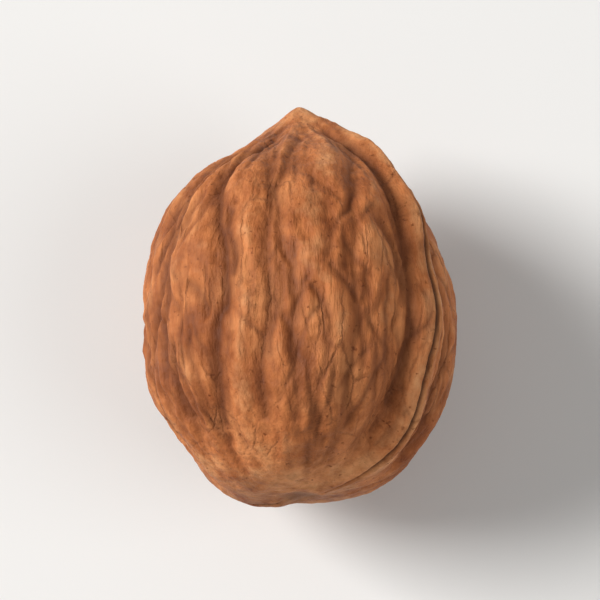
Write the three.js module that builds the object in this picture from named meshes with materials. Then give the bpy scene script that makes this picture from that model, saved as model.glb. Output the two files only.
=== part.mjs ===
// A whole walnut in its shell, lying on its side, in millimetres with +Z up.
// The long axis lies along Y, with the pointed tip at +Y and the blunt stem end at -Y.
// The seam between the two grown halves runs right round the nut, which rests on a small flat spot at z = 0.
import * as THREE from "three";
import { mergeVertices } from "three/addons/utils/BufferGeometryUtils.js";

// The plain body of the shell, before its relief
const LENGTH = 38.5;
const SEAM_WIDTH = 32.2;
const CHEEK_WIDTH = 32.4;
const TAPER = 0.1; // how much slimmer the tip half is than the stem half
const BLUNTNESS = 0.14; // how much fuller the stem end is than the tip

// The seam: a raised lip on each half, with a crack between them and a pitted valley on either side
const SEAM_HEIGHT = 0.9;
const SEAM_HALF_WIDTH = 1.7;
const SEAM_RISE_TO_TIP = 0.35; // the share by which the seam is higher at the tip, and lower at the stem end
const SEAM_UNEVENNESS = 0.2; // the share by which its height varies on the way
const SEAM_BUMP_SPACING = 7;
const CRACK_DEPTH = 0.4;
const CRACK_HALF_WIDTH = 0.5;
const CRACK_END_REACH = 2.5; // how near to the axis the crack closes, at the tip and the stem end
const VALLEY_DEPTH = 0.3;
const VALLEY_PLACE = 4.4;
const VALLEY_HALF_WIDTH = 1.7;
const VALLEY_PIT_SPACING = 6;
const VALLEY_PIT_SHARE = 0.6;
const SEAM_WANDER = 0.45; // how far the seam strays from its plane
const SEAM_WANDER_ALONG = 6.5;
const SEAM_WANDER_ACROSS = 9;
const SEAM_WANDER_REACH = 9;

// The pointed tip, and the shallow scar at the stem end
const BEAK = 1.1;
const BEAK_SPREAD = 5;
const POINT = 0.9;
const POINT_SPREAD = 1.5;
const SCAR_DEPTH = 0.5;
const SCAR_SPREAD = 2.2;

// The uneven growth of the shell, as a sum of waves
const LUMP_HEIGHT = 0.3;
const LUMP_SPACING = 14;
const WAVES = 14;
const WAVE_LENGTHS = [0.7, 1.5]; // the shortest and longest wave, as shares of the spacing

// The section of a furrow, and how it finds its way along the shell
const FURROW_DEPTH = 1.3;
const FURROW_HALF_WIDTH = 1.15;
const FURROW_BOTTOM = 0.4; // how round the bottom is
const FURROW_STEP = 0.8;
const FURROW_SWAY = 0.42;
const FURROW_STRAIGHTENING = 0.22; // the share of its lean that a furrow loses at each step
const FURROW_END_STEPS = 3; // how many steps a furrow takes to reach its full depth
const FURROW_SEAM_CLEARANCE = 2.4; // how far furrows keep from the middle of the seam
const FURROW_END_CLEARANCE = 3; // how far from the axis they end, at the tip and the stem end
const FURROW_END_REACH = 4.2; // how near to the axis they grow shallow

// The main furrows of each half, which run from the stem end towards the tip
const MAIN_FURROWS = 9;
const MAIN_START = [-0.98, -0.8]; // along the nut, from -1 at the stem end to 1 at the tip
const MAIN_PLACE = [0.2, 0.8]; // in each furrow's own share of the half
const MAIN_LENGTH = [0.9, 1.4]; // in lengths of the nut
const MAIN_STRENGTH = [0.7, 1.1]; // in shares of the full depth

// The forks of each main furrow
const FORKS = 2;
const FORK_LEAN = 0.8;
const FORK_PLACE = [0.1, 0.9]; // along the main furrow
const FORK_LENGTH = [0.12, 0.35]; // in lengths of the nut
const FORK_STRENGTH = [0.6, 0.95]; // in shares of the main furrow's depth

// The short furrows of each half, in the gaps between the others
const SHORT_FURROWS = 26;
const SHORT_TRIES = 8; // places that are tried for each, to find a gap
const SHORT_START = [-0.9, 0.85]; // along the nut, as for the main furrows
const SHORT_LEAN = [-0.9, 0.9];
const SHORT_LENGTH = [2.4, 9];
const SHORT_STRENGTH = [0.5, 0.85]; // in shares of the full depth

// How the nut lies, its facets and its colour
const ROLL = THREE.MathUtils.degToRad(-36); // lifts the seam on the +X side
const PITCH = THREE.MathUtils.degToRad(-3); // lowers the tip
const REST_DEPTH = 0.75; // how much of the round underside the flat spot takes off
const GRID = 30; // facets along each edge of the cube that is rounded into the shell
const SEAM_CROWDING = 0.2; // how much closer together the facets lie along the seam
const FOLD_REACH = 0.7; // how near to a furrow's bottom a facet's corner lies to be drawn into it
const SHELL_COLOUR = 0xb27848;
const SHELL_ROUGHNESS = 0.62;
const SEED = 21;

// Random numbers from 0 to 1 that come out the same every time
function seededRandom(seed) {
  let state = seed;
  return () => {
    state = (state + 0x6d2b79f5) | 0;
    let mixed = Math.imul(state ^ (state >>> 15), 1 | state);
    mixed = (mixed + Math.imul(mixed ^ (mixed >>> 7), 61 | mixed)) ^ mixed;
    return ((mixed ^ (mixed >>> 14)) >>> 0) / 2 ** 32;
  };
}

const random = seededRandom(SEED);
const between = (low, high) => low + (high - low) * random();
const hump = (distance, halfWidth) => Math.exp(-((distance / halfWidth) ** 2));

// An uneven field, mostly between -2 and 2: a sum of waves in all directions
function unevenField(spacing) {
  const waves = Array.from({ length: WAVES }, () => {
    const height = between(-1, 1);
    const turn = between(0, 2 * Math.PI);
    const flat = Math.sqrt(1 - height ** 2);
    const wave = new THREE.Vector3(flat * Math.cos(turn), height, flat * Math.sin(turn));
    wave.multiplyScalar((2 * Math.PI) / (spacing * between(...WAVE_LENGTHS)));
    return { wave, phase: between(0, 2 * Math.PI) };
  });
  const share = Math.sqrt(2 / WAVES);
  return (point) => {
    const swells = waves.map(({ wave, phase }) => Math.cos(wave.dot(point) + phase));
    return share * swells.reduce((sum, swell) => sum + swell, 0);
  };
}

const lumps = unevenField(LUMP_SPACING);
const pits = unevenField(VALLEY_PIT_SPACING);
const bumps = unevenField(SEAM_BUMP_SPACING);

// The plain body's point in a direction from the nut's middle
function bodyPoint(direction) {
  const along = direction.y;
  const turn = Math.atan2(direction.z, direction.x);
  const reach = Math.hypot(direction.x, direction.z) ** (1 + BLUNTNESS * along) * (1 - TAPER * along);
  return new THREE.Vector3(
    (SEAM_WIDTH / 2) * reach * Math.cos(turn),
    (LENGTH / 2) * along,
    (CHEEK_WIDTH / 2) * reach * Math.sin(turn),
  );
}

function bodyNormal(point) {
  return new THREE.Vector3(
    point.x / SEAM_WIDTH ** 2,
    point.y / LENGTH ** 2,
    point.z / CHEEK_WIDTH ** 2,
  ).normalize();
}

// The body point at a place along the nut and an angle round its axis
function pointAt(along, turn) {
  const round = Math.sqrt(1 - along ** 2);
  return bodyPoint(new THREE.Vector3(round * Math.cos(turn), along, round * Math.sin(turn)));
}

// The body point nearest to a point just off the body, on the same half and clear of the seam
function backOntoBody(point) {
  const fromSeam = Math.max(Math.abs(point.z), FURROW_SEAM_CLEARANCE) * Math.sign(point.z);
  const direction = new THREE.Vector3(point.x / SEAM_WIDTH, point.y / LENGTH, fromSeam / CHEEK_WIDTH);
  return bodyPoint(direction.normalize());
}

// One furrow: points along the body from a start, heading for the tip, with a lean that sways as it goes
function furrow(start, firstLean, length, depth) {
  const points = [];
  let point = backOntoBody(start);
  let lean = firstLean;
  for (let gone = 0; gone <= length; gone += FURROW_STEP) {
    if (Math.hypot(point.x, point.z) < FURROW_END_CLEARANCE) break;
    points.push(point);
    const normal = bodyNormal(point);
    const across = new THREE.Vector3(0, 1, 0).cross(normal).normalize();
    const onward = normal.cross(across);
    lean += between(-FURROW_SWAY, FURROW_SWAY) - FURROW_STRAIGHTENING * lean;
    const next = point.clone().addScaledVector(onward, FURROW_STEP * Math.cos(lean));
    point = backOntoBody(next.addScaledVector(across, FURROW_STEP * Math.sin(lean)));
  }
  return { points, depth };
}

// The roomiest of a few random places on one half, furthest from the furrows that are there already
function placeInGap(half, found) {
  const places = Array.from({ length: SHORT_TRIES }, () =>
    pointAt(between(...SHORT_START), half * Math.PI * random()),
  );
  const trodden = found.flatMap(({ points }) => points);
  const room = (place) => Math.min(...trodden.map((point) => point.distanceTo(place)));
  return places.reduce((best, place) => (room(place) > room(best) ? place : best));
}

// All the furrows of one half: 1 is the +Z half, and -1 the other
function furrowsOfHalf(half) {
  const found = [];
  for (let i = 0; i < MAIN_FURROWS; i++) {
    const along = between(...MAIN_START);
    const start = pointAt(along, (half * Math.PI * (i + between(...MAIN_PLACE))) / MAIN_FURROWS);
    const main = furrow(start, 0, LENGTH * between(...MAIN_LENGTH), FURROW_DEPTH * between(...MAIN_STRENGTH));
    found.push(main);
    for (let j = 0; j < FORKS && main.points.length; j++) {
      const from = main.points[Math.floor(main.points.length * between(...FORK_PLACE))];
      const lean = FORK_LEAN * (random() < 0.5 ? -1 : 1);
      const length = LENGTH * between(...FORK_LENGTH);
      found.push(furrow(from, lean, length, main.depth * between(...FORK_STRENGTH)));
    }
  }
  for (let i = 0; i < SHORT_FURROWS; i++) {
    const start = placeInGap(half, found);
    const lean = between(...SHORT_LEAN);
    found.push(furrow(start, lean, between(...SHORT_LENGTH), FURROW_DEPTH * between(...SHORT_STRENGTH)));
  }
  return found;
}

// The stretches of all furrows, each with its depth, which fades out at the furrow's two ends
const stretches = [...furrowsOfHalf(1), ...furrowsOfHalf(-1)].flatMap(({ points, depth }) =>
  points.slice(1).map((point, i) => {
    const stepsFromEnd = Math.min(i + 1, points.length - 1 - i);
    const fade = Math.min(1, stepsFromEnd / FURROW_END_STEPS);
    return { line: new THREE.Line3(points[i], point), depth: depth * fade };
  }),
);

// A body point, drawn into the bottom of a furrow that is near it, so that the facets fold along the furrow
function foldPoint(point) {
  const nearest = new THREE.Vector3();
  let bottom = point;
  let apart = FOLD_REACH;
  for (const { line } of stretches) {
    line.closestPointToPoint(point, true, nearest);
    if (nearest.distanceTo(point) >= apart) continue;
    apart = nearest.distanceTo(point);
    bottom = nearest.clone();
  }
  return point.clone().lerp(bottom, 1 - (apart / FOLD_REACH) ** 2);
}

// How deep the shell is furrowed at a point, where the deepest furrow counts
function furrowDepth(point) {
  const nearest = new THREE.Vector3();
  const depths = stretches.map(({ line, depth }) => {
    const apart = line.closestPointToPoint(point, true, nearest).distanceTo(point);
    return depth * Math.exp(-Math.hypot(apart, FURROW_BOTTOM) / FURROW_HALF_WIDTH);
  });
  return Math.max(...depths) * (1 - hump(Math.hypot(point.x, point.z), FURROW_END_REACH));
}

// The height of the seam with its crack, less the valley beside it, which ends before the tip and stem end
function seamRelief(point, along) {
  const fromSeam = Math.abs(point.z);
  const height = SEAM_HEIGHT * (1 + SEAM_RISE_TO_TIP * along + SEAM_UNEVENNESS * bumps(point));
  const lips = height * hump(fromSeam, SEAM_HALF_WIDTH);
  const open = 1 - hump(Math.hypot(point.x, point.z), CRACK_END_REACH);
  const crack = CRACK_DEPTH * open * hump(fromSeam, CRACK_HALF_WIDTH);
  const pitting = 1 + VALLEY_PIT_SHARE * THREE.MathUtils.clamp(pits(point), -1, 1);
  const valley = VALLEY_DEPTH * pitting * (1 - along ** 4) * hump(fromSeam - VALLEY_PLACE, VALLEY_HALF_WIDTH);
  return lips - crack - valley;
}

// How far the seam strays from its plane, fading out away from it
function seamWander(point) {
  const wave = Math.sin(point.y / SEAM_WANDER_ALONG + point.x / SEAM_WANDER_ACROSS);
  return SEAM_WANDER * wave * hump(point.z, SEAM_WANDER_REACH);
}

// The shell's own surface point in a direction from the nut's middle
function shellPoint(direction) {
  const point = foldPoint(bodyPoint(direction));
  const fromAxis = Math.hypot(point.x, point.z);
  const relief = LUMP_HEIGHT * lumps(point) + seamRelief(point, direction.y) - furrowDepth(point);
  const tip = BEAK * hump(fromAxis, BEAK_SPREAD) + POINT * hump(fromAxis, POINT_SPREAD);
  const scar = SCAR_DEPTH * hump(fromAxis, SCAR_SPREAD);
  const surface = point.clone().addScaledVector(bodyNormal(point), relief);
  surface.y += direction.y > 0 ? tip : scar;
  surface.z += seamWander(point);
  return surface;
}

// The closed shell: a gridded cube rounded out to the shell's surface, laid down, and flat where it rests
function shellGeometry() {
  const grid = new THREE.BoxGeometry(2, 2, 2, GRID, GRID, GRID);
  grid.deleteAttribute("normal");
  grid.deleteAttribute("uv");
  const shell = mergeVertices(grid);
  const position = shell.getAttribute("position");
  const corner = new THREE.Vector3();
  const even = (share) => Math.tan((share * Math.PI) / 4);
  for (let i = 0; i < position.count; i++) {
    corner.fromBufferAttribute(position, i);
    corner.z *= 1 - SEAM_CROWDING * (1 - corner.z ** 2);
    corner.set(even(corner.x), even(corner.y), even(corner.z)).normalize();
    position.setXYZ(i, ...shellPoint(corner).toArray());
  }
  shell.rotateY(ROLL);
  shell.rotateX(PITCH);
  shell.computeBoundingBox();
  const { min, max } = shell.boundingBox;
  shell.translate(-(min.x + max.x) / 2, -(min.y + max.y) / 2, -min.z - REST_DEPTH);
  for (let i = 0; i < position.count; i++) {
    position.setZ(i, Math.max(0, position.getZ(i)));
  }
  shell.computeVertexNormals();
  return shell;
}

const shellMaterial = new THREE.MeshStandardMaterial({
  color: SHELL_COLOUR,
  roughness: SHELL_ROUGHNESS,
  metalness: 0,
});
const shell = new THREE.Mesh(shellGeometry(), shellMaterial);
shell.name = "walnut";

const walnut = new THREE.Group();
walnut.add(shell);

export default walnut;
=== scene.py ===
import math

import bpy
import numpy as np
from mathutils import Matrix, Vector


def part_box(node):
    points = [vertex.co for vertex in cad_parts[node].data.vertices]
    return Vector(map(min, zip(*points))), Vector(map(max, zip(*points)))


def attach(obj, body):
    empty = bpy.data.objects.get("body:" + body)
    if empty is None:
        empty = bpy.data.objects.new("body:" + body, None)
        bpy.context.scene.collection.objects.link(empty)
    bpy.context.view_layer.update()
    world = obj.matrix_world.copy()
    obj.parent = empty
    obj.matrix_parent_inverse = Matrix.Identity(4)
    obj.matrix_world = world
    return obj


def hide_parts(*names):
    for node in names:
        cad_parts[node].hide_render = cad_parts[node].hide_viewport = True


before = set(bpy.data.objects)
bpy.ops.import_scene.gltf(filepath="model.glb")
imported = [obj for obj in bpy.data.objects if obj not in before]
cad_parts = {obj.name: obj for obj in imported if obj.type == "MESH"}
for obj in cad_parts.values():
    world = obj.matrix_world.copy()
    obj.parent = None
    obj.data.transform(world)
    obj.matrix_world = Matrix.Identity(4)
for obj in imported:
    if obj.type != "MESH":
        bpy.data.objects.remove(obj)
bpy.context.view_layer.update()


# The shell
# The two halves of a walnut's shell are of thin, dry wood, grown together along a raised seam that runs
# right round the nut. The veins of the green husk that it ripened in have left their furrows in it.
# It lies loose on its side, on a small flat spot.
MM = 0.001

# Until it is laid on its side, its body is an egg with the tip towards +Y and the seam at z = 0.
# Places along it go from -1 at the stem end to 1 at the tip
LENGTH = 38.5 * MM
SEAM_WIDTH = 32.2 * MM
CHEEK_WIDTH = 32.4 * MM
TAPER = 0.1  # how much slimmer the tip half is than the stem half
BLUNTNESS = 0.14  # how much fuller the stem end is than the tip


def unit(vectors):
    return vectors / np.linalg.norm(vectors, axis=-1, keepdims=True)


def body_points(directions):
    """The plain body's points in these directions from the nut's middle."""
    x, along, z = np.moveaxis(directions, -1, 0)
    turn = np.arctan2(z, x)
    reach = np.hypot(x, z) ** (1 + BLUNTNESS * along) * (1 - TAPER * along)
    return np.stack((
        SEAM_WIDTH / 2 * reach * np.cos(turn),
        LENGTH / 2 * along,
        CHEEK_WIDTH / 2 * reach * np.sin(turn),
    ), axis=-1)


def body_normals(points):
    return unit(points / np.array((SEAM_WIDTH, LENGTH, CHEEK_WIDTH)) ** 2)


def point_at(along, turn):
    """The body's point at this place along the nut, turned this far round from the seam."""
    out = math.sqrt(1 - along**2)
    return body_points(np.array((out * math.cos(turn), along, out * math.sin(turn))))


def back_onto_body(point, clearance):
    """The body's point next to a point just off the body, on the same half and clear of the seam."""
    from_seam = math.copysign(max(abs(point[2]), clearance), point[2])
    direction = np.array((point[0] / SEAM_WIDTH, point[1] / LENGTH, from_seam / CHEEK_WIDTH))
    return body_points(unit(direction))


# A cube is cut into a fine grid, crowded towards the seam, and rounded into the body
GRID_CUTS = (61, 1)  # the second cut halves the squares that the first one makes
SEAM_CROWDING = 0.2  # how much closer together the lines at the seam are than evenly spread ones
bpy.ops.object.select_all(action="DESELECT")
bpy.ops.mesh.primitive_cube_add(size=2)
shell = bpy.context.object
shell.name = "walnut_shell"
bpy.ops.object.mode_set(mode="EDIT")
for cuts in GRID_CUTS:
    bpy.ops.mesh.subdivide(number_cuts=cuts)
bpy.ops.object.mode_set(mode="OBJECT")

corners = np.empty(len(shell.data.vertices) * 3)
shell.data.vertices.foreach_get("co", corners)
corners = corners.reshape(-1, 3)
corners[:, 2] *= 1 - SEAM_CROWDING * (1 - corners[:, 2] ** 2)
directions = unit(np.tan(corners * math.pi / 4))
body = body_points(directions)
along = directions[:, 1]
from_axis = np.hypot(body[:, 0], body[:, 2])
from_seam = np.abs(body[:, 2])

# It is uneven, with lumps all over, pits in the valleys beside the seam and bumps on the seam
SEED = 21
BITS = 0xFFFFFFFF
WAVES = 14
WAVE_LENGTHS = (0.7, 1.5)  # the shortest and the longest, as shares of the spacing
LUMP_HEIGHT = 0.3 * MM
LUMP_SPACING = 14 * MM
VALLEY_PIT_SPACING = 6 * MM
SEAM_BUMP_SPACING = 7 * MM


def seeded_random(seed):
    """Random numbers from 0 to 1 that come out the same every time, by the mulberry32 method."""
    state = seed

    def draw():
        nonlocal state
        state = (state + 0x6D2B79F5) & BITS
        mixed = ((state ^ (state >> 15)) * (1 | state)) & BITS
        mixed = ((mixed + (mixed ^ (mixed >> 7)) * (61 | mixed)) & BITS) ^ mixed
        return (mixed ^ (mixed >> 14)) / 2**32

    return draw


random = seeded_random(SEED)


def between(low, high):
    return low + (high - low) * random()


def uneven_field(spacing):
    """A field of waves in all directions, mostly between -2 and 2."""
    waves = []
    phases = []
    for _ in range(WAVES):
        height = between(-1, 1)
        turn = between(0, 2 * math.pi)
        flat = math.sqrt(1 - height**2)
        wave = np.array((flat * math.cos(turn), height, flat * math.sin(turn)))
        waves.append(wave * 2 * math.pi / (spacing * between(*WAVE_LENGTHS)))
        phases.append(between(0, 2 * math.pi))
    waves = np.array(waves)
    phases = np.array(phases)
    return lambda points: math.sqrt(2 / WAVES) * np.cos(points @ waves.T + phases).sum(axis=1)


lumps = uneven_field(LUMP_SPACING)
pits = uneven_field(VALLEY_PIT_SPACING)
bumps = uneven_field(SEAM_BUMP_SPACING)

# Furrows sway from the stem end towards the tip. The main ones fork, and short ones fill the gaps
FURROW_DEPTH = 1.3 * MM
FURROW_HALF_WIDTH = 1.15 * MM
FURROW_BOTTOM = 0.25 * MM  # how far its bottom is rounded
FURROW_REACH = 6  # in half widths, past which next to nothing is left of it
FURROW_STEP = 0.8 * MM
FURROW_SWAY = 0.42
FURROW_STRAIGHTENING = 0.22
FURROW_END_STEPS = 3  # it gets shallow over the last few steps
FURROW_SEAM_CLEARANCE = 2.4 * MM
FURROW_END_CLEARANCE = 3 * MM
FURROW_END_REACH = 4.2 * MM
MAIN_FURROWS = 9
MAIN_START = (-0.98, -0.8)
MAIN_PLACE = (0.2, 0.8)  # where in its share of the turn round the half it starts
MAIN_LENGTH = (0.9, 1.4)  # in lengths of the nut
MAIN_STRENGTH = (0.7, 1.1)
FORKS = 2
FORK_LEAN = 0.8
FORK_PLACE = (0.1, 0.9)
FORK_LENGTH = (0.12, 0.35)
FORK_STRENGTH = (0.6, 0.95)
SHORT_FURROWS = 26
SHORT_START = (-0.9, 0.85)
SHORT_LEAN = (-0.9, 0.9)
SHORT_LENGTH = (2.4 * MM, 9 * MM)
SHORT_STRENGTH = (0.5, 0.85)
GAP_TRIES = 8


def walk(start, lean, length, depth, clearance=FURROW_SEAM_CLEARANCE, end=FURROW_END_CLEARANCE):
    """Points of one furrow from a start, heading for the tip with a lean that sways, and its depth."""
    points = []
    point = back_onto_body(start, clearance)
    gone = 0
    while gone <= length and math.hypot(point[0], point[2]) >= end:
        points.append(point)
        normal = body_normals(point)
        across = unit(np.cross((0, 1, 0), normal))
        onward = np.cross(normal, across)
        lean += between(-FURROW_SWAY, FURROW_SWAY) - FURROW_STRAIGHTENING * lean
        step = FURROW_STEP * (onward * math.cos(lean) + across * math.sin(lean))
        point = back_onto_body(point + step, clearance)
        gone += FURROW_STEP
    return np.array(points).reshape(-1, 3), depth


def place_in_gap(half, found, start):
    """The roomiest of a few random places, furthest from the furrows that are there already."""
    places = [point_at(between(*start), half * math.pi * random()) for _ in range(GAP_TRIES)]
    trodden = np.concatenate([points for points, depth in found])
    room = [np.linalg.norm(trodden - place, axis=1).min() for place in places]
    return places[int(np.argmax(room))]


def furrows_of_half(half):
    """The main furrows of one half with their forks, and short ones in the gaps between them."""
    found = []
    for i in range(MAIN_FURROWS):
        along = between(*MAIN_START)
        start = point_at(along, half * math.pi * (i + between(*MAIN_PLACE)) / MAIN_FURROWS)
        length = LENGTH * between(*MAIN_LENGTH)
        points, depth = walk(start, 0, length, FURROW_DEPTH * between(*MAIN_STRENGTH))
        found.append((points, depth))
        for _ in range(FORKS if len(points) else 0):
            fork = points[int(len(points) * between(*FORK_PLACE))]
            lean = FORK_LEAN * (-1 if random() < 0.5 else 1)
            length = LENGTH * between(*FORK_LENGTH)
            found.append(walk(fork, lean, length, depth * between(*FORK_STRENGTH)))
    for _ in range(SHORT_FURROWS):
        start = place_in_gap(half, found, SHORT_START)
        lean = between(*SHORT_LEAN)
        length = between(*SHORT_LENGTH)
        found.append(walk(start, lean, length, FURROW_DEPTH * between(*SHORT_STRENGTH)))
    return found


def depth_of(points, found, half_width, bottom):
    """How deep these points lie in the found furrows, where the deepest one counts."""
    order = np.argsort(points[:, 1])
    ordered = points[order]
    depths = np.zeros(len(points))
    reach = FURROW_REACH * half_width
    for line, depth in found:
        for i in range(len(line) - 1):
            fade = min(1, min(i + 1, len(line) - 1 - i) / FURROW_END_STEPS)
            start, stretch = line[i], line[i + 1] - line[i]
            ends = sorted((start[1], start[1] + stretch[1]))
            low, high = np.searchsorted(ordered[:, 1], (ends[0] - reach, ends[1] + reach))
            aside = ordered[low:high] - start
            share = np.clip(aside @ stretch / (stretch @ stretch), 0, 1)
            apart = np.linalg.norm(aside - share[:, None] * stretch, axis=1)
            here = depth * fade * np.exp(-np.hypot(apart, bottom) / half_width)
            depths[low:high] = np.maximum(depths[low:high], here)
    unordered = np.empty_like(depths)
    unordered[order] = depths
    return unordered


def hump(distance, half_width):
    return np.exp(-((distance / half_width) ** 2))


halves = {half: furrows_of_half(half) for half in (1, -1)}
furrow = depth_of(body, halves[1] + halves[-1], FURROW_HALF_WIDTH, FURROW_BOTTOM)
furrow *= 1 - hump(from_axis, FURROW_END_REACH)

# Fine furrows lie on the ridges between them, more of them near the stem
FINE_GROUPS = ((54, (-0.985, 0.94)), (16, (-0.992, -0.88)))  # how many, and where they start
FINE_LEAN = (-0.5, 0.5)
FINE_LENGTH = (3 * MM, 14 * MM)
FINE_DEPTH = 0.55 * MM
FINE_STRENGTH = (0.4, 1.0)
FINE_HALF_WIDTH = 0.5 * MM
FINE_BOTTOM = 0.14 * MM
FINE_END_REACH = 1.8 * MM
FINE_SEAM_CLEARANCE = 1.8 * MM
FINE_END_CLEARANCE = 1.5 * MM


def fine_furrows_of_half(half, found):
    """Fine furrows in the gaps between those that were found."""
    fine = []
    for count, start in FINE_GROUPS:
        for _ in range(count):
            place = place_in_gap(half, found + fine, start)
            lean = between(*FINE_LEAN)
            length = between(*FINE_LENGTH)
            depth = FINE_DEPTH * between(*FINE_STRENGTH)
            fine.append(walk(place, lean, length, depth, FINE_SEAM_CLEARANCE, FINE_END_CLEARANCE))
    return fine


fine_furrows = [line for half in halves for line in fine_furrows_of_half(half, halves[half])]
fine = depth_of(body, fine_furrows, FINE_HALF_WIDTH, FINE_BOTTOM)
fine *= 1 - hump(from_axis, FINE_END_REACH)

# Thin veins run anywhere, right up to the seam
VEINS = 190
VEIN_START = (-0.995, 0.98)
VEIN_LEAN = (-1.0, 1.0)
VEIN_LENGTH = (2 * MM, 10 * MM)
VEIN_DEPTH = 0.26 * MM
VEIN_STRENGTH = (0.3, 1.0)
VEIN_HALF_WIDTH = 0.28 * MM
VEIN_BOTTOM = 0.1 * MM
VEIN_SEAM_CLEARANCE = 0.7 * MM
VEIN_END_CLEARANCE = 0.9 * MM


def veins_of_half(half):
    """The veins of one half, which take no heed of its furrows."""
    veins = []
    for _ in range(VEINS):
        start = point_at(between(*VEIN_START), half * math.pi * random())
        lean = between(*VEIN_LEAN)
        length = between(*VEIN_LENGTH)
        depth = VEIN_DEPTH * between(*VEIN_STRENGTH)
        veins.append(walk(start, lean, length, depth, VEIN_SEAM_CLEARANCE, VEIN_END_CLEARANCE))
    return veins


veins = [line for half in halves for line in veins_of_half(half)]
vein = depth_of(body, veins, VEIN_HALF_WIDTH, VEIN_BOTTOM)

# The seam has two raised lips with a crack between them and a valley on each side, and wanders a little
SEAM_HEIGHT = 0.9 * MM
SEAM_HALF_WIDTH = 1.7 * MM
SEAM_RISE_TO_TIP = 0.35
SEAM_UNEVENNESS = 0.2
CRACK_DEPTH = 0.45 * MM
CRACK_HALF_WIDTH = 0.26 * MM
CRACK_END_REACH = 2.5 * MM
VALLEY_DEPTH = 0.3 * MM
VALLEY_PLACE = 4.4 * MM
VALLEY_HALF_WIDTH = 1.7 * MM
VALLEY_PIT_SHARE = 0.6
SEAM_WANDER = 0.45 * MM
SEAM_WANDER_ALONG = 6.5 * MM
SEAM_WANDER_ACROSS = 9 * MM
SEAM_WANDER_REACH = 9 * MM
lips = hump(from_seam, SEAM_HALF_WIDTH)
crack = (1 - hump(from_axis, CRACK_END_REACH)) * hump(from_seam, CRACK_HALF_WIDTH)
pitting = 1 + VALLEY_PIT_SHARE * np.clip(pits(body), -1, 1)
valley = VALLEY_DEPTH * pitting * (1 - along**4) * hump(from_seam - VALLEY_PLACE, VALLEY_HALF_WIDTH)
relief = LUMP_HEIGHT * lumps(body) - furrow - fine - vein - valley - CRACK_DEPTH * crack
relief += SEAM_HEIGHT * (1 + SEAM_RISE_TO_TIP * along + SEAM_UNEVENNESS * bumps(body)) * lips
grown = body + relief[:, None] * body_normals(body)
wander = np.sin(body[:, 1] / SEAM_WANDER_ALONG + body[:, 0] / SEAM_WANDER_ACROSS)
grown[:, 2] += SEAM_WANDER * wander * hump(body[:, 2], SEAM_WANDER_REACH)

# The tip is drawn out into a beak with a small point, and the stem has left a scar with a rim
BEAK = 1.1 * MM
BEAK_SPREAD = 5 * MM
POINT = 0.9 * MM
POINT_SPREAD = 1.5 * MM
SCAR_DEPTH = 0.5 * MM
SCAR_SPREAD = 2.2 * MM
SCAR_RIM_HEIGHT = 0.16 * MM
SCAR_RIM_PLACE = 2.7 * MM
SCAR_RIM_STRAY = 0.4 * MM
SCAR_RIM_HALF_WIDTH = 0.6 * MM
tip = BEAK * hump(from_axis, BEAK_SPREAD) + POINT * hump(from_axis, POINT_SPREAD)
scar = np.where(along < 0, hump(from_axis, SCAR_SPREAD), 0)
rim = hump(from_axis - SCAR_RIM_PLACE - SCAR_RIM_STRAY * bumps(body), SCAR_RIM_HALF_WIDTH)
grown[:, 1] += np.where(along > 0, tip, SCAR_DEPTH * scar - SCAR_RIM_HEIGHT * rim)
shell.data.vertices.foreach_set("co", grown.ravel())

# Every point keeps where on the body it grew and how deep it lies, for the shell's finish to follow
FLANK_START = 7.5 * MM  # how far from the axis the dry cracks begin
FLANK_SPREAD = 6.2 * MM
SEAM_WEAR = 0.4  # how much more the seam is worn where furrows run into it
for name, values in (
    ("furrow", furrow / FURROW_DEPTH),
    ("fine", fine / FINE_DEPTH),
    ("vein", vein / VEIN_DEPTH),
    ("crack", crack),
    ("scar", scar),
    ("flank", np.clip((from_axis - FLANK_START) / FLANK_SPREAD, 0, 1)),
    ("ridge", np.clip(1 - furrow / FURROW_DEPTH - fine / FINE_DEPTH + SEAM_WEAR * lips, 0, 1)),
):
    shell.data.attributes.new(name, "FLOAT", "POINT").data.foreach_set("value", values)
shell.data.attributes.new("grain", "FLOAT_VECTOR", "POINT").data.foreach_set("vector", body.ravel())
shell.data.update()
bpy.ops.object.shade_smooth()

# The fine grain of its wood
GRAIN_HEIGHT = 0.2 * MM
GRAIN_SPACING = 1.1 * MM
GRAIN_FINENESS = 2
bpy.ops.object.modifier_add(type="DISPLACE")
grain = shell.modifiers[-1]
grain.texture = bpy.data.textures.new("walnut_grain", "CLOUDS")
grain.texture.noise_scale = GRAIN_SPACING
grain.texture.noise_depth = GRAIN_FINENESS
grain.strength = GRAIN_HEIGHT
bpy.ops.object.modifier_apply(modifier=grain.name)

# It is laid on its side, in the place of the plain nut, and is flat where it rests
ROLL = math.radians(-36)
PITCH = math.radians(-3)
CUT_TOLERANCE = 0.001 * MM
shell.rotation_mode = "YXZ"
shell.rotation_euler = (PITCH, ROLL, 0)
bpy.ops.object.transform_apply(location=False, rotation=True, scale=False)
lowest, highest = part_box("walnut")
low, high = Vector(shell.bound_box[0]), Vector(shell.bound_box[6])
shell.location = (lowest + highest - low - high) / 2
shell.location.z = highest.z - high.z
bpy.ops.object.transform_apply(location=True, rotation=False, scale=False)
bpy.ops.object.mode_set(mode="EDIT")
bpy.ops.mesh.select_all(action="SELECT")
bpy.ops.mesh.bisect(
    plane_co=(0, 0, 0), plane_no=(0, 0, 1), use_fill=True, clear_inner=True, threshold=CUT_TOLERANCE,
)
bpy.ops.object.mode_set(mode="OBJECT")

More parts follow.
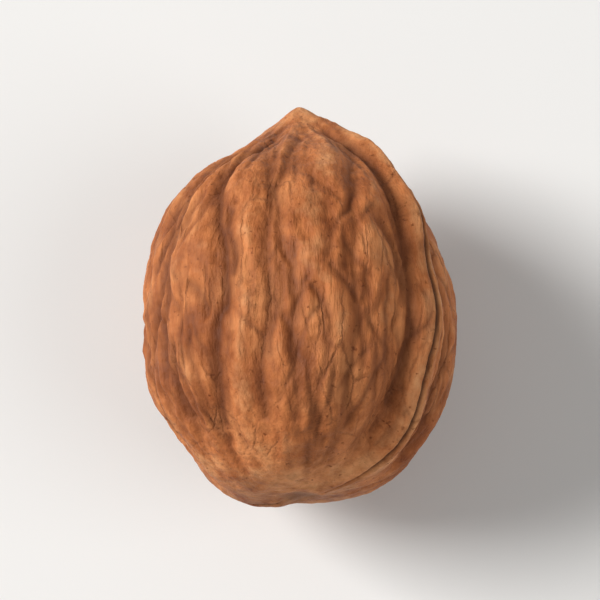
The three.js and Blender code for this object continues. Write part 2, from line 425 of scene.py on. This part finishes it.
# Dry, tan-brown wood: mottled and streaked lengthwise, dark in its furrows and pale where it is worn,
# with painted shade in the seam crack.
# Each noise has its patches in a metre, its detail and its roughness
MOTTLE_NOISE = (150, 5, 0.6)
STAIN_NOISE = (75, 6, 0.62)
WEAR_NOISE = (420, 5, 0.6)
SPECK_NOISE = (1900, 2, 0.5)
STREAK_NOISE = (900, 6, 0.65)
WRINKLE_NOISE = (1300, 5, 0.6)
FIBRE_NOISE = (3200, 4, 0.6)
LENGTHWISE = (1, 0.16, 1)  # how streaks, wrinkles and fibres are drawn out along the nut
DRY_CRACKS = 480  # in a metre
DRY_CRACK_LENGTHWISE = (1, 0.075, 1)
DRY_CRACK_SWAY = (1.1 * MM, 0.3 * MM, 1.1 * MM)

# A ramp gives a colour to each of a few amounts, and a fade gives each a share
MOTTLE = (
    (0.30, (0.370, 0.117, 0.037, 1)),
    (0.50, (0.555, 0.188, 0.060, 1)),
    (0.72, (0.670, 0.270, 0.101, 1)),
)
STREAKS = ((0.32, (0.66, 0.58, 0.52, 1)), (0.60, (1, 1, 1, 1)))
STAINS = ((0.34, (0.68, 0.60, 0.54, 1)), (0.52, (1, 1, 1, 1)))
SPECKS = ((0.25, (0.48, 0.40, 0.34, 1)), (0.35, (1, 1, 1, 1)))
WORN_TINT = (0.700, 0.330, 0.140, 1)
FURROW_TINT = (0.125, 0.036, 0.013, 1)
SCAR_TINT = (0.190, 0.070, 0.027, 1)
# The near-black tint in the seam crack is painted shade, standing in for the dark of a gap too fine to
# model
CRACK_PAINTED_SHADE = (0.045, 0.016, 0.008, 1)
WORN_FADE = ((0.36, 0), (0.62, 0.8))
FURROW_FADE = ((0.35, 0), (0.85, 0.85))
FINE_FADE = ((0.2, 0), (0.8, 0.75))
VEIN_FADE = ((0.12, 0), (0.7, 0.65))
DRY_CRACK_FADE = ((0, 0), (1, 0.5))
SCAR_FADE = ((0.15, 0), (0.5, 0.8))
# How strongly the painted shade is laid into the seam crack
CRACK_SHADE_FADE = ((0.3, 0), (0.9, 0.85))
DRY_CRACK_EDGES = ((0, 1), (0.065, 0))
DRY_CRACK_BREAKS = ((0.44, 0.08), (0.60, 1))
DULLNESS = ((0.35, 0.50), (0.65, 0.72))
SHINE = 0.16
WRINKLE_STRENGTH = 0.9
WRINKLE_DEPTH = 0.35 * MM
FIBRE_STRENGTH = 0.8
FIBRE_DEPTH = 0.12 * MM
DRY_CRACK_STRENGTH = 0.7
DRY_CRACK_DEPTH = 0.15 * MM

material = bpy.data.materials.new("walnut_shell")
material.use_nodes = True
tree = material.node_tree
surface = tree.nodes["Principled BSDF"]


def add_node(kind, inputs, **settings):
    """A node of this kind, with its inputs set to values or linked to other nodes' outputs."""
    node = tree.nodes.new(kind)
    for name, value in settings.items():
        setattr(node, name, value)
    for name, value in inputs.items():
        if isinstance(value, bpy.types.NodeSocket):
            tree.links.new(value, node.inputs[name])
        else:
            node.inputs[name].default_value = value
    return node


def add_attribute(name):
    return add_node("ShaderNodeAttribute", {}, attribute_name=name)


def add_stretch(vector, scale):
    return add_node("ShaderNodeMapping", {"Vector": vector, "Scale": scale}).outputs["Vector"]


def add_noise(vector, scale, detail, roughness):
    return add_node("ShaderNodeTexNoise", {
        "Vector": vector, "Scale": scale, "Detail": detail, "Roughness": roughness,
    })


def add_product(one, other):
    return add_node("ShaderNodeMath", {0: one, 1: other}, operation="MULTIPLY").outputs[0]


def add_ramp(amount, stops):
    node = add_node("ShaderNodeValToRGB", {"Fac": amount})
    elements = node.color_ramp.elements
    while len(elements) < len(stops):
        elements.new(1)
    for element, (position, colour) in zip(elements, stops):
        element.position = position
        element.color = colour
    return node.outputs["Color"]


def add_fade(amount, stops):
    return add_ramp(amount, [(position, (share, share, share, 1)) for position, share in stops])


def add_mix(share, under, over, blend="MIX"):
    """The colour that is over, laid on the one that is under by this share."""
    return add_node("ShaderNodeMixRGB", {
        "Fac": share, "Color1": under, "Color2": over,
    }, blend_type=blend).outputs["Color"]


lie = add_attribute("grain").outputs["Vector"]
lengthwise = add_stretch(lie, LENGTHWISE)
mottle = add_noise(lie, *MOTTLE_NOISE).outputs["Fac"]
stain = add_noise(lie, *STAIN_NOISE).outputs["Fac"]
wear = add_noise(lie, *WEAR_NOISE)
speck = add_noise(lie, *SPECK_NOISE).outputs["Fac"]
streak = add_noise(lengthwise, *STREAK_NOISE).outputs["Fac"]
wrinkle = add_noise(lengthwise, *WRINKLE_NOISE).outputs["Fac"]
fibre = add_noise(lengthwise, *FIBRE_NOISE).outputs["Fac"]
worn = add_product(add_attribute("ridge").outputs["Fac"], wear.outputs["Fac"])
scarred = add_product(add_attribute("scar").outputs["Fac"], wear.outputs["Fac"])

# The dry cracks are the edges of long, swaying cells, broken here and there, on the flanks alone
swayed = add_node("ShaderNodeVectorMath", {
    0: wear.outputs["Color"], 1: DRY_CRACK_SWAY, 2: add_stretch(lie, DRY_CRACK_LENGTHWISE),
}, operation="MULTIPLY_ADD").outputs["Vector"]
cells = add_node("ShaderNodeTexVoronoi", {
    "Vector": swayed, "Scale": DRY_CRACKS,
}, feature="DISTANCE_TO_EDGE").outputs["Distance"]
edges = add_fade(cells, DRY_CRACK_EDGES)
broken = add_product(edges, add_fade(mottle, DRY_CRACK_BREAKS))
dry_crack = add_product(broken, add_attribute("flank").outputs["Fac"])

colour = add_ramp(mottle, MOTTLE)
colour = add_mix(add_fade(worn, WORN_FADE), colour, WORN_TINT)
for amount, stops in ((streak, STREAKS), (stain, STAINS), (speck, SPECKS)):
    colour = add_mix(1, colour, add_ramp(amount, stops), "MULTIPLY")
for amount, tint, stops in (
    (add_attribute("furrow").outputs["Fac"], FURROW_TINT, FURROW_FADE),
    (add_attribute("fine").outputs["Fac"], FURROW_TINT, FINE_FADE),
    (add_attribute("vein").outputs["Fac"], FURROW_TINT, VEIN_FADE),
    (dry_crack, FURROW_TINT, DRY_CRACK_FADE),
    (scarred, SCAR_TINT, SCAR_FADE),
    # painted shade in the seam crack
    (add_attribute("crack").outputs["Fac"], CRACK_PAINTED_SHADE, CRACK_SHADE_FADE),
):
    colour = add_mix(add_fade(amount, stops), colour, tint)
wrinkles = add_node("ShaderNodeBump", {
    "Height": wrinkle, "Strength": WRINKLE_STRENGTH, "Distance": WRINKLE_DEPTH,
}).outputs["Normal"]
fibres = add_node("ShaderNodeBump", {
    "Height": fibre, "Strength": FIBRE_STRENGTH, "Distance": FIBRE_DEPTH, "Normal": wrinkles,
}).outputs["Normal"]
cracked = add_node("ShaderNodeBump", {
    "Height": dry_crack, "Strength": DRY_CRACK_STRENGTH, "Distance": DRY_CRACK_DEPTH, "Normal": fibres,
}, invert=True).outputs["Normal"]
tree.links.new(colour, surface.inputs["Base Color"])
tree.links.new(add_fade(mottle, DULLNESS), surface.inputs["Roughness"])
tree.links.new(cracked, surface.inputs["Normal"])
surface.inputs["Specular IOR Level"].default_value = SHINE
shell.data.materials.append(material)

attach(shell, "root")
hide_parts("walnut")


# The floor
# A plain, pale studio floor that the nut lies on. It is painted matt, so that it mirrors nothing.
FLOOR_SIZE = 3
FLOOR_COLOUR = (0.80, 0.79, 0.77, 1)
FLOOR_ROUGHNESS = 0.9
FLOOR_SHINE = 0.05
bpy.ops.mesh.primitive_plane_add(size=FLOOR_SIZE)
floor = bpy.context.object
floor.name = "floor"
floor_material = bpy.data.materials.new("floor")
floor_material.use_nodes = True
floor_surface = floor_material.node_tree.nodes["Principled BSDF"]
floor_surface.inputs["Base Color"].default_value = FLOOR_COLOUR
floor_surface.inputs["Roughness"].default_value = FLOOR_ROUGHNESS
floor_surface.inputs["Specular IOR Level"].default_value = FLOOR_SHINE
floor.data.materials.append(floor_material)


# The light
# A large soft light from the upper left, a weaker one from the right, and a little white light from all
# round. The lamps point at the nut's middle, and each has its place, its size in metres and its watts.
MIDDLE = (lowest + highest) / 2
LAMPS = (
    ("key", (-1.60, 0.44, 1.24), 0.90, 53),
    ("fill", (1.80, -0.54, 1.52), 1.80, 18),
)
SKY_COLOUR = (1, 1, 1, 1)
SKY_STRENGTH = 0.24
for name, place, size, power in LAMPS:
    bpy.ops.object.light_add(type="AREA", location=place)
    light = bpy.context.object
    light.name = name
    light.data.size = size
    light.data.energy = power
    light.rotation_euler = (MIDDLE - Vector(place)).to_track_quat("-Z", "Y").to_euler()
world = bpy.data.worlds.new("world")
world.use_nodes = True
sky = world.node_tree.nodes["Background"]
sky.inputs["Color"].default_value = SKY_COLOUR
sky.inputs["Strength"].default_value = SKY_STRENGTH
bpy.context.scene.world = world
bpy.context.scene.view_settings.view_transform = "Standard"


# The camera
# It looks down on the nut with a long lens, so that the tip is at the top and the seam on the right.
AZIMUTH = math.radians(0)
ELEVATION = math.radians(78)
DISTANCE = 0.21
LENS = 125  # its focal length, in millimetres
away = Vector((
    math.sin(AZIMUTH) * math.cos(ELEVATION),
    -math.cos(AZIMUTH) * math.cos(ELEVATION),
    math.sin(ELEVATION),
))
bpy.ops.object.camera_add(location=MIDDLE + DISTANCE * away)
camera = bpy.context.object
camera.rotation_euler = (-away).to_track_quat("-Z", "Y").to_euler()
camera.data.lens = LENS
bpy.context.scene.camera = camera
